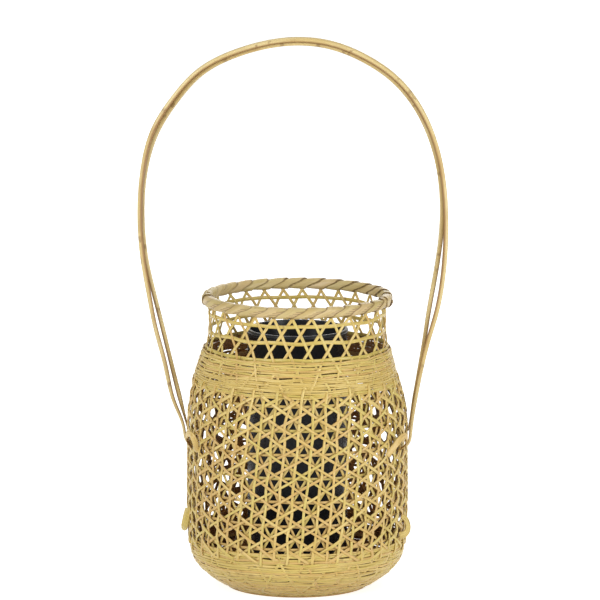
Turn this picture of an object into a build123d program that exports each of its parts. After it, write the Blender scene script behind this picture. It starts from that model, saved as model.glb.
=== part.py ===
from build123d import *
import math
import os

# Bamboo flower basket with a tall twin-strand handle and a lift-out water tube.
# Millimetres, +Z up, the origin is at the centre of the foot on the table.
# The handle's arch lies in the XZ plane and the front faces -Y.

# Wall outline, on the outer face of the open base weave
foot_radius = 48.0
foot_lift = 1.8
corner_height = 28.0
belly_radius = 74.7
belly_height = 100.0
neck_radius = 62.6
neck_height = 183.0
mouth_radius = 63.6
wall_top_height = 204.6
corner_shares = [(0.38, 0.20), (0.67, 0.43), (0.865, 0.67), (0.945, 1.0)]
shoulder_shares = [(0.90, 0.34), (0.52, 0.57), (0.17, 0.79)]

# Split bamboo strips, laid in layers through the wall
strip_thickness = 0.45
strip_gap = 0.20
strip_width = 2.3
neck_hoop_width = 2.9
diagonal_pairs = 26
weave_lean = 1.2
handle_row = 3.5

# Hoops that lie level in the weave
first_hoop_height = 38.9
last_hoop_height = 139.5
body_hoops = 7
neck_hoop_height = 170.3
neck_hoop_pitch = 11.8
neck_hoops = 3
foot_rows = 3

# Strips added over the body, between the base and the shoulder band
insert_low_height = 36.9
insert_high_height = 143.2

# Fine courses packed close round the shoulder and the base
course_thickness = 1.7
course_rounding = 0.5
shoulder_low_height = 145.6
shoulder_high_height = 167.6
shoulder_courses = 9
base_high_height = 34.6
base_courses = 14
course_gap = 0.35

# Foot and floor
foot_ring_outer = 49.8
foot_ring_height = 1.0
foot_ring_clearance = 0.4
floor_strips = 9
floor_radius = 45.6
floor_strip_width = 5.0

# Rim: two hoops and a filler, wrapped all round. It sits astride the wall's top edge.
rim_inside_depth = 4.1
rim_outside_depth = 3.6
rim_drop = 4.8
rim_height = 7.9
rim_rounding = 2.6
wrap_thickness = 0.6
wrap_turns = 30
wrap_seam = 0.35
wrap_lean = 32.0
rim_clearance = 0.25
rim_filler_height = 1.2

# Handle: two strands that part and close along the arch
handle_reach = 110.0
handle_foot_height = 100.0
handle_top_height = 384.5
handle_turn_height = 250.0
strand_width = 4.0
strand_thickness = 3.1
strand_rounding = 0.9
strand_spacing = 4.4
tip_width = 2.4
tip_thickness = 1.2
tip_rounding = 0.3
tip_low_height = 48.0
tip_entry_drop = 9.0
tip_exit_rise = 3.1
tip_clearance = 0.5
tongue_shares = [0.0, 0.34, 0.67, 1.0]
arch_shares = [
    (-0.771, 0.100, 1.45), (-0.829, 0.193, 1.40), (-0.888, 0.285, 1.55), (-0.941, 0.378, 1.0),
    (-0.976, 0.448, 0.65), (-0.999, 0.560, 0.50), (-0.975, 0.686, 0.60), (-0.905, 0.778, 1.05),
    (-0.788, 0.851, 1.12), (-0.612, 0.925, 1.12), (-0.375, 0.972, 1.12), (-0.090, 0.999, 1.12),
    (0.198, 0.994, 1.12), (0.430, 0.960, 1.12), (0.622, 0.909, 1.12), (0.777, 0.833, 1.10),
    (0.900, 0.703, 0.95), (0.933, 0.560, 1.10), (0.904, 0.425, 2.00), (0.862, 0.332, 2.00),
    (0.824, 0.264, 1.05), (0.788, 0.193, 0.45), (0.750, 0.110, 0.25),
]

# Strip loops that stand proud of the wall beside the handle's feet
lug_width = 3.6
lug_thickness = 0.7
lug_stand = 4.2
lug_lift = 8.0
lug_clearance = 0.3
lug_shares = [(0.0, 0.0), (0.22, 0.62), (0.5, 1.0), (0.78, 0.78), (1.0, 0.0)]
upper_lug_height = 95.0
upper_lug_rise = 5.0
upper_lug_near = 8.0
upper_lug_far = 31.0
lower_lug_low = 36.0
lower_lug_high = 56.0
lower_lug_angle = 5.0

# Water tube
tube_radius = 35.0
tube_bore_radius = 33.0
tube_lip_radius = 35.8
tube_lip_height = 3.2
tube_top_height = 182.6
tube_floor = 3.0
tube_clearance = 0.3
tube_edge = 0.9

layer_pitch = strip_thickness + strip_gap
half_pitch_angle = 180.0 / diagonal_pairs
course_lift = strip_gap + course_thickness / 2


# Wall curve, from the foot up to the rim
def wall_curve():
    corner_run = belly_radius - foot_radius
    shoulder_run = belly_radius - neck_radius
    shoulder_rise = neck_height - belly_height
    points = [(foot_radius, 0, foot_lift)]
    for across, up in corner_shares:
        points.append((foot_radius + across * corner_run, 0, foot_lift + up * corner_height))
    points.append((belly_radius, 0, belly_height))
    for across, up in shoulder_shares:
        points.append((neck_radius + across * shoulder_run, 0, belly_height + up * shoulder_rise))
    points.append((neck_radius, 0, neck_height))
    points.append((mouth_radius, 0, wall_top_height))
    return Spline(*points)


wall = wall_curve()
wall_steps = 400
wall_table = [wall.position_at(step / wall_steps) for step in range(wall_steps + 1)]


# Share of the wall curve's length at a height
def share_at(height):
    for step in range(wall_steps):
        low = wall_table[step].Z
        high = wall_table[step + 1].Z
        if height <= high:
            return (step + (height - low) / (high - low)) / wall_steps
    return 1.0


# Levels of the weave's rows: row 0 is the lowest hoop that shows
def row_heights():
    rise = (last_hoop_height - first_hoop_height) / (body_hoops - 1)
    heights = [first_hoop_height + rise * row for row in range(body_hoops)]
    heights.append((last_hoop_height + neck_hoop_height) / 2)
    heights += [neck_hoop_height + neck_hoop_pitch * row for row in range(neck_hoops)]
    heights.append(wall_top_height)
    return heights


row_levels = row_heights()
last_row = len(row_levels) - 1
first_hoop_share = share_at(first_hoop_height)


# Share of the wall curve at a row, counted down to the foot below row 0
def row_share(row):
    if row <= 0:
        return first_hoop_share * (1 + row / foot_rows)
    low = min(int(row), last_row - 1)
    height = row_levels[low] + (row - low) * (row_levels[low + 1] - row_levels[low])
    return share_at(height)


# A row for a height in the body
def body_row(height):
    return (height - first_hoop_height) * (body_hoops - 1) / (last_hoop_height - first_hoop_height)


# Point and outward direction on the wall, lifted off its base face
def on_wall(share, angle, lift):
    point = wall.position_at(share)
    along = wall.tangent_at(share)
    turn = math.radians(angle)
    radius = point.X + along.Z * lift
    height = point.Z - along.X * lift
    place = Vector(radius * math.cos(turn), radius * math.sin(turn), height)
    out = Vector(along.Z * math.cos(turn), along.Z * math.sin(turn), -along.X)
    return place, out


# Square-edged section of a strip
def strip_wire(place, along, out, width, thickness):
    side = along.cross(out).normalized() * (width / 2)
    up = side.cross(along).normalized() * (thickness / 2)
    corners = [place - side - up, place + side - up, place + side + up, place - side + up]
    return Wire.make_polygon(corners, close=True)


# Solid strip through places on a path, each with its outward direction
def strip(places, width, thickness):
    wires = []
    last = len(places) - 1
    for index, (place, out) in enumerate(places):
        ahead = places[min(index + 1, last)][0]
        behind = places[max(index - 1, 0)][0]
        wires.append(strip_wire(place, ahead - behind, out, width, thickness))
    return Solid.make_loft(wires)


# Lift of a layer's middle over the wall's base face
def layer_lift(layer):
    return layer * layer_pitch - strip_thickness / 2


# One woven strip that turns by a steady angle for each row it climbs. The weave leans a
# little, and at the handle's row an open hexagon lies at each end of the arch.
def climbing_strip(low_row, high_row, steps, turn_per_row, start_angle, layer):
    places = []
    for step in range(steps + 1):
        row = low_row + (high_row - low_row) * step / steps
        angle = start_angle + (turn_per_row + weave_lean) * (row - handle_row)
        places.append(on_wall(row_share(row), angle, layer_lift(layer)))
    return strip(places, strip_width, strip_thickness)


# Copies of a piece spread evenly round the axis
def around(piece, count):
    return [piece.rotate(Axis.Z, 360 * index / count) for index in range(count)]


# Ring of a small flat section that lies on the wall
def wall_ring(share, lift, width, thickness, rounding):
    place, out = on_wall(share, 0, lift)
    along = Vector(-out.Z, 0, out.X)
    plane = Plane(origin=place, x_dir=along, z_dir=along.cross(out))
    section = Rectangle(width, thickness)
    if rounding > 0:
        section = RectangleRounded(width, thickness, rounding)
    return revolve(plane * section, Axis.Z)


def save(name, pieces):
    shape = pieces[0] if len(pieces) == 1 else Compound(pieces)
    shape.label = name
    export_step(shape, f"parts/{name}.step")


# Diagonal strips of the open base weave, from the foot into the rim
def base_weave():
    steps = 2 * (last_row + foot_rows) + 4
    start = half_pitch_angle
    rising = climbing_strip(-foot_rows, last_row, steps, half_pitch_angle, start, -2)
    falling = climbing_strip(-foot_rows, last_row, steps, -half_pitch_angle, start, -1)
    save("rising_diagonals", around(rising, diagonal_pairs))
    save("falling_diagonals", around(falling, diagonal_pairs))


# Strips added over the base weave of the body
def inserted_strips():
    low = body_row(insert_low_height)
    high = body_row(insert_high_height)
    shift = half_pitch_angle / 2
    steep = 3 * half_pitch_angle
    steps = 16
    upright = climbing_strip(low, high, steps, 0, shift, 1)
    rising = climbing_strip(low, high, steps, steep, half_pitch_angle, 2)
    falling = climbing_strip(low, high, steps, -steep, half_pitch_angle, 3)
    save("upright_strips", around(upright, 2 * diagonal_pairs))
    save("rising_insert_strips", around(rising, diagonal_pairs))
    save("falling_insert_strips", around(falling, diagonal_pairs))


# Level hoops of the base weave
def hoops():
    lift = layer_lift(0)
    for row in range(1, foot_rows):
        ring = wall_ring(row_share(-row), lift, strip_width, strip_thickness, 0)
        save(f"base_hoop_{row}", [ring])
    for row in range(body_hoops):
        ring = wall_ring(row_share(row), lift, strip_width, strip_thickness, 0)
        save(f"body_hoop_{row + 1}", [ring])
    ring = wall_ring(row_share(body_hoops), lift, strip_width, strip_thickness, 0)
    save("shoulder_hoop", [ring])
    for row in range(neck_hoops):
        share = row_share(body_hoops + 1 + row)
        save(f"neck_hoop_{row + 1}", [wall_ring(share, lift, neck_hoop_width, strip_thickness, 0)])


# Fine courses that close the shoulder and the base
def courses():
    low = share_at(shoulder_low_height)
    high = share_at(shoulder_high_height)
    pitch = (high - low) / (shoulder_courses - 1)
    width = pitch * wall.length - course_gap
    for index in range(shoulder_courses):
        ring = wall_ring(low + pitch * index, course_lift, width, course_thickness, course_rounding)
        save(f"shoulder_course_{index + 1}", [ring])
    high = share_at(base_high_height)
    pitch = high / base_courses
    width = pitch * wall.length - course_gap
    for index in range(base_courses):
        share = high - pitch * index
        ring = wall_ring(share, course_lift, width, course_thickness, course_rounding)
        save(f"base_course_{index + 1:02d}", [ring])


# Flat foot ring, with the floor's crossed strips inside it, the lowest of them level with it
def foot_and_floor():
    inner_radius = floor_radius + foot_ring_clearance
    outline = Circle(foot_ring_outer) - Circle(inner_radius)
    save("foot_ring", [extrude(outline, foot_ring_height)])
    pitch = 2 * floor_radius / floor_strips
    for layer, turn in enumerate((0, 60, 120)):
        low = layer_pitch * layer
        pieces = []
        for index in range(floor_strips):
            across = pitch * (index - (floor_strips - 1) / 2)
            half = math.sqrt(floor_radius**2 - (abs(across) + floor_strip_width / 2) ** 2)
            middle = Pos(0, across, low + strip_thickness / 2)
            bar = middle * Box(2 * half, floor_strip_width, strip_thickness)
            pieces.append(bar.rotate(Axis.Z, turn))
        save(f"floor_strips_{layer + 1}", pieces)


# Rim: an inner hoop, an outer hoop and a filler inside slanted turns of wrapping
def rim():
    wide = rim_inside_depth + rim_outside_depth
    tall = rim_height
    low = wall_top_height - rim_drop
    middle = Vector(mouth_radius - rim_inside_depth + wide / 2, 0, low + tall / 2)
    plane = Plane(origin=middle, x_dir=(1, 0, 0), z_dir=(0, -1, 0))
    inner_rounding = rim_rounding - wrap_thickness
    wall_outer = mouth_radius + layer_lift(-1) + strip_thickness / 2 + rim_clearance
    low_radius = min(mouth_radius, wall.position_at(share_at(low)).X)
    wall_inner = low_radius + layer_lift(-2) - strip_thickness / 2 - rim_clearance

    cover = wrap_thickness + rim_clearance
    core = RectangleRounded(wide - 2 * cover, tall - 2 * cover, rim_rounding - cover)
    hoop_top = tall / 2 - cover - rim_filler_height - rim_clearance
    hoop_tall = hoop_top + tall / 2

    def core_ring(left, right, low, high):
        window = Pos((left + right) / 2, (low + high) / 2) * Rectangle(right - left, high - low)
        return revolve(plane * (core & window), Axis.Z)

    left = wall_inner - middle.X
    right = wall_outer - middle.X
    save("rim_inner_hoop", [core_ring(-wide / 2, left, hoop_top - hoop_tall, hoop_top)])
    save("rim_outer_hoop", [core_ring(right, wide / 2, hoop_top - hoop_tall, hoop_top)])
    save("rim_filler", [core_ring(-wide / 2, wide / 2, hoop_top + rim_clearance, tall / 2)])

    section = RectangleRounded(wide, tall, rim_rounding)
    section -= RectangleRounded(wide - 2 * wrap_thickness, tall - 2 * wrap_thickness, inner_rounding)
    slot_middle = (wall_inner + wall_outer) / 2 - middle.X
    section -= Pos(slot_middle, -tall / 2) * Rectangle(wall_outer - wall_inner, tall)
    shell = revolve(plane * section, Axis.Z)
    blade = Box(2 * wide, wrap_seam, 3 * tall)
    blade = Pos(middle.X, 0, middle.Z) * Rot(wrap_lean, 0, 0) * blade
    turns = shell.cut(*around(blade, wrap_turns))
    save("rim_wrap", list(turns.solids()))


# Rounded section across a handle strand
def strand_wire(place, along, width, thickness, rounding):
    plane = Plane(origin=place, x_dir=(0, 1, 0), z_dir=along)
    return (plane * RectangleRounded(width, thickness, rounding)).wire()


# Middle of a strand where it stands on the arch, side is 1 outside and -1 inside
def arch_points(side):
    points = []
    rise = handle_top_height - handle_foot_height
    for across, up, spread in arch_shares:
        x = across * handle_reach
        z = handle_foot_height + up * rise
        away = Vector(x, 0, max(0, z - handle_turn_height)).normalized()
        place = Vector(x, 0, z) + away * (side * spread * strand_thickness / 2)
        points.append((place.X, place.Z))
    return points


# Solid strand through points of the XZ plane, thinned to a tip at each end, with its
# sections closer together towards the tips
def strand(points, y, thin_points):
    line = Spline(*[(x, y, z) for x, z in points])
    steps = 6 * len(points)
    wires = []
    thin_share = thin_points / (len(points) - 1)
    for step in range(steps + 1):
        share = (1 - math.cos(math.pi * step / steps)) / 2
        near = min(share, 1 - share)
        full = min(1, near / thin_share)
        full = full * full * (3 - 2 * full)
        width = tip_width + (strand_width - tip_width) * full
        thickness = tip_thickness + (strand_thickness - tip_thickness) * full
        rounding = tip_rounding + (strand_rounding - tip_rounding) * full
        wires.append(strand_wire(line.position_at(share), line.tangent_at(share), width, thickness, rounding))
    return Solid.make_loft(wires)


def handle():
    outside = belly_radius + 3 * layer_pitch + tip_clearance + tip_thickness / 2
    inside = belly_radius - 2 * layer_pitch - strip_thickness - tip_clearance - tip_thickness / 2
    entry = wall.position_at(row_share(handle_row)).Z
    low_inside = inside - (belly_radius - wall.position_at(share_at(tip_low_height)).X)
    turn_height = entry - tip_entry_drop
    tongue = []
    for share in tongue_shares:
        x = low_inside + (inside - low_inside) * share
        tongue.append((x, tip_low_height + (turn_height - tip_low_height) * share))
    tongue += [((inside + outside) / 2, entry), (outside, entry + tip_exit_rise)]
    outer = arch_points(1)
    left = [(-x, z) for x, z in tongue]
    right = list(reversed(tongue))
    save("handle_outer_strand", [strand(left + outer + right, 0, 6)])
    tip = (outside, entry + 3 * strand_width)
    inner = [(-tip[0], tip[1])] + arch_points(-1) + [tip]
    save("handle_inner_strand", [strand(inner, strand_spacing, 1)])


# Strip loop between two places on the wall, standing proud in the middle
def lug(start_angle, start_height, end_angle, end_height, lift_height):
    base = 3 * layer_pitch + lug_clearance + lug_thickness / 2
    points = []
    for along, stand in lug_shares:
        angle = start_angle + (end_angle - start_angle) * along
        height = start_height + (end_height - start_height) * along + lift_height * stand
        place, out = on_wall(share_at(height), angle, base + lug_stand * stand)
        points.append(place)
    line = Spline(*points)
    places = []
    steps = 12
    for step in range(steps + 1):
        place = line.position_at(step / steps)
        out = Vector(place.X, place.Y, 0).normalized()
        places.append((place, out))
    return strip(places, lug_width, lug_thickness)


def lugs():
    for name, side, middle in (("left", 1, 180), ("right", -1, 0)):
        far = middle + side * upper_lug_far
        near = middle + side * upper_lug_near
        high = upper_lug_height + upper_lug_rise
        save(f"upper_{name}_lug", [lug(far, upper_lug_height, near, high, lug_lift)])
        turn = middle + side * lower_lug_angle
        save(f"lower_{name}_lug", [lug(turn, lower_lug_low, turn, lower_lug_high, 0)])


# Water tube that stands on the floor strips and lifts out
def water_tube():
    low = 3 * layer_pitch - strip_gap + tube_clearance
    lip_low = tube_top_height - tube_lip_height
    body = Pos(0, 0, low) * extrude(Circle(tube_radius), tube_top_height - low)
    body += Pos(0, 0, lip_low) * extrude(Circle(tube_lip_radius), tube_lip_height)
    body -= Pos(0, 0, low + tube_floor) * extrude(Circle(tube_bore_radius), tube_top_height)
    outer_edges = body.edges().filter_by(GeomType.CIRCLE)
    lip_edges = [edge for edge in outer_edges if abs(edge.radius - tube_lip_radius) < tube_edge / 10]
    low_edges = [edge for edge in outer_edges if edge.center().Z < low + tube_edge / 10]
    body = fillet(lip_edges + low_edges, tube_edge / 2)
    save("water_tube", [body])


os.makedirs("parts", exist_ok=True)
base_weave()
inserted_strips()
hoops()
courses()
foot_and_floor()
rim()
handle()
lugs()
water_tube()
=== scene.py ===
import math
import bpy
import numpy as np
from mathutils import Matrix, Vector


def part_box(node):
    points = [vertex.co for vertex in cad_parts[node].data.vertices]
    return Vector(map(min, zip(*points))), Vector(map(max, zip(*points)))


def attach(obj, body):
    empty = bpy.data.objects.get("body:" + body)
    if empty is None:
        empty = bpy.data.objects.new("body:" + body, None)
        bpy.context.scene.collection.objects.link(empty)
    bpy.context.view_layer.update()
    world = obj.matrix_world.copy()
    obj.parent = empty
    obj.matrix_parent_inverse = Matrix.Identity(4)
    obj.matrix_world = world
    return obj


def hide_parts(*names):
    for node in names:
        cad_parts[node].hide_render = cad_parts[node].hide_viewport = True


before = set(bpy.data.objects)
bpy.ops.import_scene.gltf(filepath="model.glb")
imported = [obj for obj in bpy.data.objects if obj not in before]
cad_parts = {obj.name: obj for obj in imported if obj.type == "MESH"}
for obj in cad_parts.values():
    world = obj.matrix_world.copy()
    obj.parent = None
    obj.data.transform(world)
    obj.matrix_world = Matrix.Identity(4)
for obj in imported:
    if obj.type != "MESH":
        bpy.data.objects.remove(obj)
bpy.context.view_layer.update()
print("frame loaded,", len(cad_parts), "nodes")

# Bamboo flower basket with a tall twin-strand handle and a black water tube.
# Metres, front faces -Y, the arch lies in the XZ plane.
mm = 0.001
cm = 0.01
chance = np.random.default_rng(26)


# camera and light
cameraPlan = {
    "distance": 4.5,
    "height": 0.975,
    "turn": 4.4,                     # degrees round to the right
    "aim": (0.0019, 0.0, 0.2024),
    "lens": 391.0,
    "sensor": 36.0,
    "near": 0.1,
    "far": 200.0,
}


def putInScene(name, data):
    thing = bpy.data.objects.new(name, data)
    bpy.context.scene.collection.objects.link(thing)
    return thing


def aimAt(thing, target):
    look = np.array(target) - np.array(thing.location)
    flat = math.hypot(look[0], look[1])
    thing.rotation_euler = (math.pi / 2 + math.atan2(look[2], flat), 0, math.atan2(-look[0], look[1]))


def makeCamera():
    plan = cameraPlan
    turn = math.radians(plan["turn"])
    lens = bpy.data.cameras.new("photoLens")
    lens.lens = plan["lens"]
    lens.sensor_width = plan["sensor"]
    lens.clip_start = plan["near"]
    lens.clip_end = plan["far"]
    camera = putInScene("photoCamera", lens)
    away = plan["distance"]
    camera.location = (away * math.sin(turn), -away * math.cos(turn), plan["height"])
    aimAt(camera, plan["aim"])
    bpy.context.scene.camera = camera


lampPlan = {
    "worldStrength": 0.50,
    "lamps": [                       # place, width, watts
        ("keyLamp", (-1.3, -1.7, 0.9), 0.8, 20.0),
        ("fillLamp", (1.6, -1.3, 0.5), 1.0, 19.0),
        ("topLamp", (0.0, 0.2, 1.9), 1.0, 4.0),
        ("backLamp", (0.2, 2.2, 0.9), 1.2, 9.0),
    ],
    "floorShade": (0.86, 0.86, 0.855),
    "floorGlow": 0.72,               # how bright the floor looks to the camera by itself
    "floorHalf": 30.0,
    "lampAim": (0, 0, 0.12),
}


# 1 for rays from the camera and for one other kind
def seenBy(nodes, links, other):
    path = nodes.new("ShaderNodeLightPath")
    seen = nodes.new("ShaderNodeMath")
    seen.operation = "MAXIMUM"
    links.new(path.outputs["Is Camera Ray"], seen.inputs[0])
    links.new(path.outputs[other], seen.inputs[1])
    return seen.outputs[0]


def makeStage():
    world = bpy.data.worlds.new("paleRoom")
    bpy.context.scene.world = world
    world.use_nodes = True
    nodes = world.node_tree.nodes
    links = world.node_tree.links
    back = nodes["Background"]
    back.inputs["Color"].default_value = (1, 1, 1, 1)
    back.inputs["Strength"].default_value = lampPlan["worldStrength"]
    bright = nodes.new("ShaderNodeBackground")
    bright.inputs["Color"].default_value = (1, 1, 1, 1)
    bright.inputs["Strength"].default_value = 1.0
    mix = nodes.new("ShaderNodeMixShader")
    links.new(seenBy(nodes, links, "Is Transmission Ray"), mix.inputs["Fac"])
    links.new(back.outputs[0], mix.inputs[1])
    links.new(bright.outputs[0], mix.inputs[2])
    links.new(mix.outputs[0], nodes["World Output"].inputs["Surface"])

    mesh = bpy.data.meshes.new("floor")
    half = lampPlan["floorHalf"]
    corners = [(-half, -half, 0), (half, -half, 0), (half, half, 0), (-half, half, 0)]
    mesh.from_pydata(corners, [], [(0, 1, 2, 3)])
    floor = putInScene("floor", mesh)
    paint = bpy.data.materials.new("palePaper")
    paint.use_nodes = True
    nodes = paint.node_tree.nodes
    links = paint.node_tree.links
    nodes.clear()
    matt = nodes.new("ShaderNodeBsdfDiffuse")
    matt.inputs["Color"].default_value = (*lampPlan["floorShade"], 1)
    glow = nodes.new("ShaderNodeEmission")
    level = nodes.new("ShaderNodeMath")
    level.operation = "MULTIPLY"
    level.inputs[1].default_value = lampPlan["floorGlow"]
    both = nodes.new("ShaderNodeAddShader")
    out = nodes.new("ShaderNodeOutputMaterial")
    links.new(seenBy(nodes, links, "Is Glossy Ray"), level.inputs[0])
    links.new(level.outputs[0], glow.inputs["Strength"])
    links.new(matt.outputs[0], both.inputs[0])
    links.new(glow.outputs[0], both.inputs[1])
    links.new(both.outputs[0], out.inputs["Surface"])
    mesh.materials.append(paint)

    for name, place, width, watts in lampPlan["lamps"]:
        light = bpy.data.lights.new(name, "AREA")
        light.size = width
        light.energy = watts
        lamp = putInScene(name, light)
        lamp.location = place
        aimAt(lamp, lampPlan["lampAim"])
    bpy.context.scene.view_settings.view_transform = "Standard"


# the wall's outline from the foot to the rim, which every lift is measured from
wallForm = {
    "footRadius": 48.0 * mm,
    "footLift": 1.8 * mm,
    "cornerHeight": 28.0 * mm,
    "bellyRadius": 75.6 * mm,
    "bellyHeight": 100.0 * mm,
    "neckRadius": 62.6 * mm,
    "neckHeight": 183.0 * mm,
    "mouthRadius": 63.6 * mm,
    "topHeight": 204.6 * mm,
    "fullShoulder": 2.0 * mm,        # the left shoulder came out a little fuller
    "fullHeight": 153.0 * mm,
    "fullSpread": 15.0 * mm,
    "samples": 600,
    "cornerShares": [(0.38, 0.20), (0.67, 0.43), (0.865, 0.67), (0.945, 1.0)],
    "shoulderShares": [(0.90, 0.34), (0.52, 0.57), (0.17, 0.79)],
}


finerRun = 8                         # how much finer a smooth line is measured than drawn


# length of a line up to each of its points
def lengthAlong(line):
    return np.concatenate([[0.0], np.cumsum(np.linalg.norm(np.diff(line, axis=0), axis=1))])


# smooth line through points, as an even run of places
def smoothLine(points, count):
    spots = np.array(points, float)
    knots = lengthAlong(spots)
    size = len(spots)
    matrix = np.eye(size)
    right = np.zeros_like(spots)
    for at in range(1, size - 1):
        before = knots[at] - knots[at - 1]
        after = knots[at + 1] - knots[at]
        matrix[at, at - 1:at + 2] = [before, 2 * (before + after), after]
        right[at] = 6 * ((spots[at + 1] - spots[at]) / after - (spots[at] - spots[at - 1]) / before)
    bend = np.linalg.solve(matrix, right)

    def placesAt(where):
        cell = np.clip(np.searchsorted(knots, where, side="right") - 1, 0, size - 2)
        span = (knots[cell + 1] - knots[cell])[:, None]
        near = (where - knots[cell])[:, None]
        far = span - near
        curve = (bend[cell] * far ** 3 + bend[cell + 1] * near ** 3) / (6 * span)
        curve += (spots[cell] / span - bend[cell] * span / 6) * far
        return curve + (spots[cell + 1] / span - bend[cell + 1] * span / 6) * near

    fine = np.linspace(0, knots[-1], finerRun * count)
    dense = placesAt(fine)
    run = lengthAlong(dense)
    even = np.interp(np.linspace(0, run[-1], count), run, fine)
    return placesAt(even)


def wallTable():
    form = wallForm
    corner = form["bellyRadius"] - form["footRadius"]
    shoulder = form["bellyRadius"] - form["neckRadius"]
    rise = form["neckHeight"] - form["bellyHeight"]
    points = [(form["footRadius"], form["footLift"])]
    for across, up in form["cornerShares"]:
        points.append((form["footRadius"] + across * corner, form["footLift"] + up * form["cornerHeight"]))
    points.append((form["bellyRadius"], form["bellyHeight"]))
    for across, up in form["shoulderShares"]:
        points.append((form["neckRadius"] + across * shoulder, form["bellyHeight"] + up * rise))
    points.append((form["neckRadius"], form["neckHeight"]))
    points.append((form["mouthRadius"], form["topHeight"]))
    line = smoothLine(points, form["samples"])
    run = lengthAlong(line)
    along = np.gradient(line, axis=0)
    along /= np.linalg.norm(along, axis=1)[:, None]
    return {
        "run": run, "radius": line[:, 0], "height": line[:, 1], "outR": along[:, 1], "outZ": -along[:, 0],
    }


wall = wallTable()


def middleHeight(node):
    low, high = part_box(node)
    return (low.z + high.z) / 2


# rows of the weave: row 0 is the lowest hoop that shows
weavePlan = {
    "pairs": 26,
    "lean": 1.2,                     # degrees for each row
    "handleRow": 3.5,
    "footRows": 3,
    "bodyHoops": 7,
    "neckHoops": 3,
    "rowSteps": 9,                   # points of a diagonal in each row
    "width": 2.3 * mm,
    "bodyShare": 0.81,               # share of that width in the body
    "neckShare": 0.06,               # share added in the neck
    "uneven": (0.06, 5),             # share of the width, waves
    "drift": (0.20, 9),              # degrees, waves
    "thickness": 0.70 * mm,
    "backWidth": 0.60,               # broader strips round the back of the body
    "backPoints": 60,                # points from the foot that tell how far back it lies
    "sway": 0.30 * mm,               # half the depth of the over and under
    "openLift": -0.80,               # mm, in the open body and neck
    "packedRise": 1.70,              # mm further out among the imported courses
    "neckBunch": 3.2,                # degrees the neck's strips crowd to the front and the back
    "neckShadeLoss": 0.24,                # how much of the inner side's painted shade the neck loses
}
# rows over which the weave changes, from and to
rowBands = {
    "bodyOpens": (-0.35, 0.1),
    "bodyCloses": (6.35, 6.7),
    "neckOpens": (7.75, 8.05),
    "footPacks": (-0.7, -0.1),
    "shoulderFrom": (6.2, 6.9),
    "shoulderTo": (7.7, 8.1),
    "bunches": (6.6, 8.0),
    "broadens": (7.2, 8.4),
    "backNarrows": (6.5, 7.5),
    "shadeEases": (7.4, 8.2),
    "insertsRise": (-0.45, -0.05),
    "insertsEnd": (6.1, 6.5),
}
rowHeights = [middleHeight(f"body_hoop_{row + 1}") for row in range(weavePlan["bodyHoops"])]
rowHeights.append(middleHeight("shoulder_hoop"))
rowHeights += [middleHeight(f"neck_hoop_{row + 1}") for row in range(weavePlan["neckHoops"])]
rowHeights.append(wallForm["topHeight"])
lastRow = len(rowHeights) - 1
pitchAngle = 180.0 / weavePlan["pairs"]


def runAtHeight(height):
    return np.interp(height, wall["height"], wall["run"])


def heightRow(height):
    return np.interp(height, rowHeights, np.arange(lastRow + 1))


def runAtRow(row):
    row = np.asarray(row, float)
    above = runAtHeight(np.interp(row, np.arange(lastRow + 1), rowHeights))
    below = runAtHeight(rowHeights[0]) * (1 + row / weavePlan["footRows"])
    return np.where(row < 0, below, above)


def onWall(run, angle, lift):
    outR = np.interp(run, wall["run"], wall["outR"])
    outZ = np.interp(run, wall["run"], wall["outZ"])
    height = np.interp(run, wall["run"], wall["height"]) + outZ * lift
    turn = np.radians(angle)
    form = wallForm
    fuller = np.exp(-((height - form["fullHeight"]) / form["fullSpread"]) ** 2)
    fuller = fuller * np.maximum(-np.cos(turn), 0) ** 2
    reach = np.interp(run, wall["run"], wall["radius"]) + outR * lift + form["fullShoulder"] * fuller
    places = np.stack([reach * np.cos(turn), reach * np.sin(turn), height], axis=1)
    outs = np.stack([outR * np.cos(turn), outR * np.sin(turn), outZ], axis=1)
    return places, outs


def blendOver(value, low, high):
    share = np.clip((np.asarray(value, float) - low) / (high - low), 0, 1)
    return share * share * (3 - 2 * share)


def overBand(rows, name):
    return blendOver(rows, *rowBands[name])


openWave = 0.7                       # an open strip has this share of a closed one's waves


# slow uneven drift that hand work leaves
def wander(count, size, waves, closed=False):
    where = np.linspace(0, 2 * math.pi, count, endpoint=not closed)
    total = np.zeros(count)
    for wave in range(1, waves + 1):
        step = wave if closed else wave * openWave
        total += chance.normal() * np.sin(step * where + chance.uniform(0, 2 * math.pi))
    return size * total / math.sqrt(waves)


# sections of split strips as shares of half the width and half the thickness
stripSection = [
    (-0.85, -1.0), (-1.0, -0.5), (-1.0, 0.35), (-0.78, 0.86), (0.0, 1.0),
    (0.78, 0.86), (1.0, 0.35), (1.0, -0.5), (0.85, -1.0),
]
roundSection = [
    (-0.75, -1.0), (-0.98, -0.45), (-0.96, 0.15), (-0.62, 0.76), (0.0, 1.0),
    (0.62, 0.76), (0.96, 0.15), (0.98, -0.45), (0.75, -1.0),
]
strandSection = [
    (-0.80, -1.0), (-0.95, -0.86), (-1.0, -0.5), (-1.0, 0.25), (-0.88, 0.72), (-0.55, 0.94), (0.0, 1.0),
    (0.55, 0.94), (0.88, 0.72), (1.0, 0.25), (1.0, -0.5), (0.95, -0.86), (0.80, -1.0), (0.0, -0.92),
]


def newParts():
    return {"spots": [], "faces": [], "grain": [], "inside": [], "count": 0}


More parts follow.
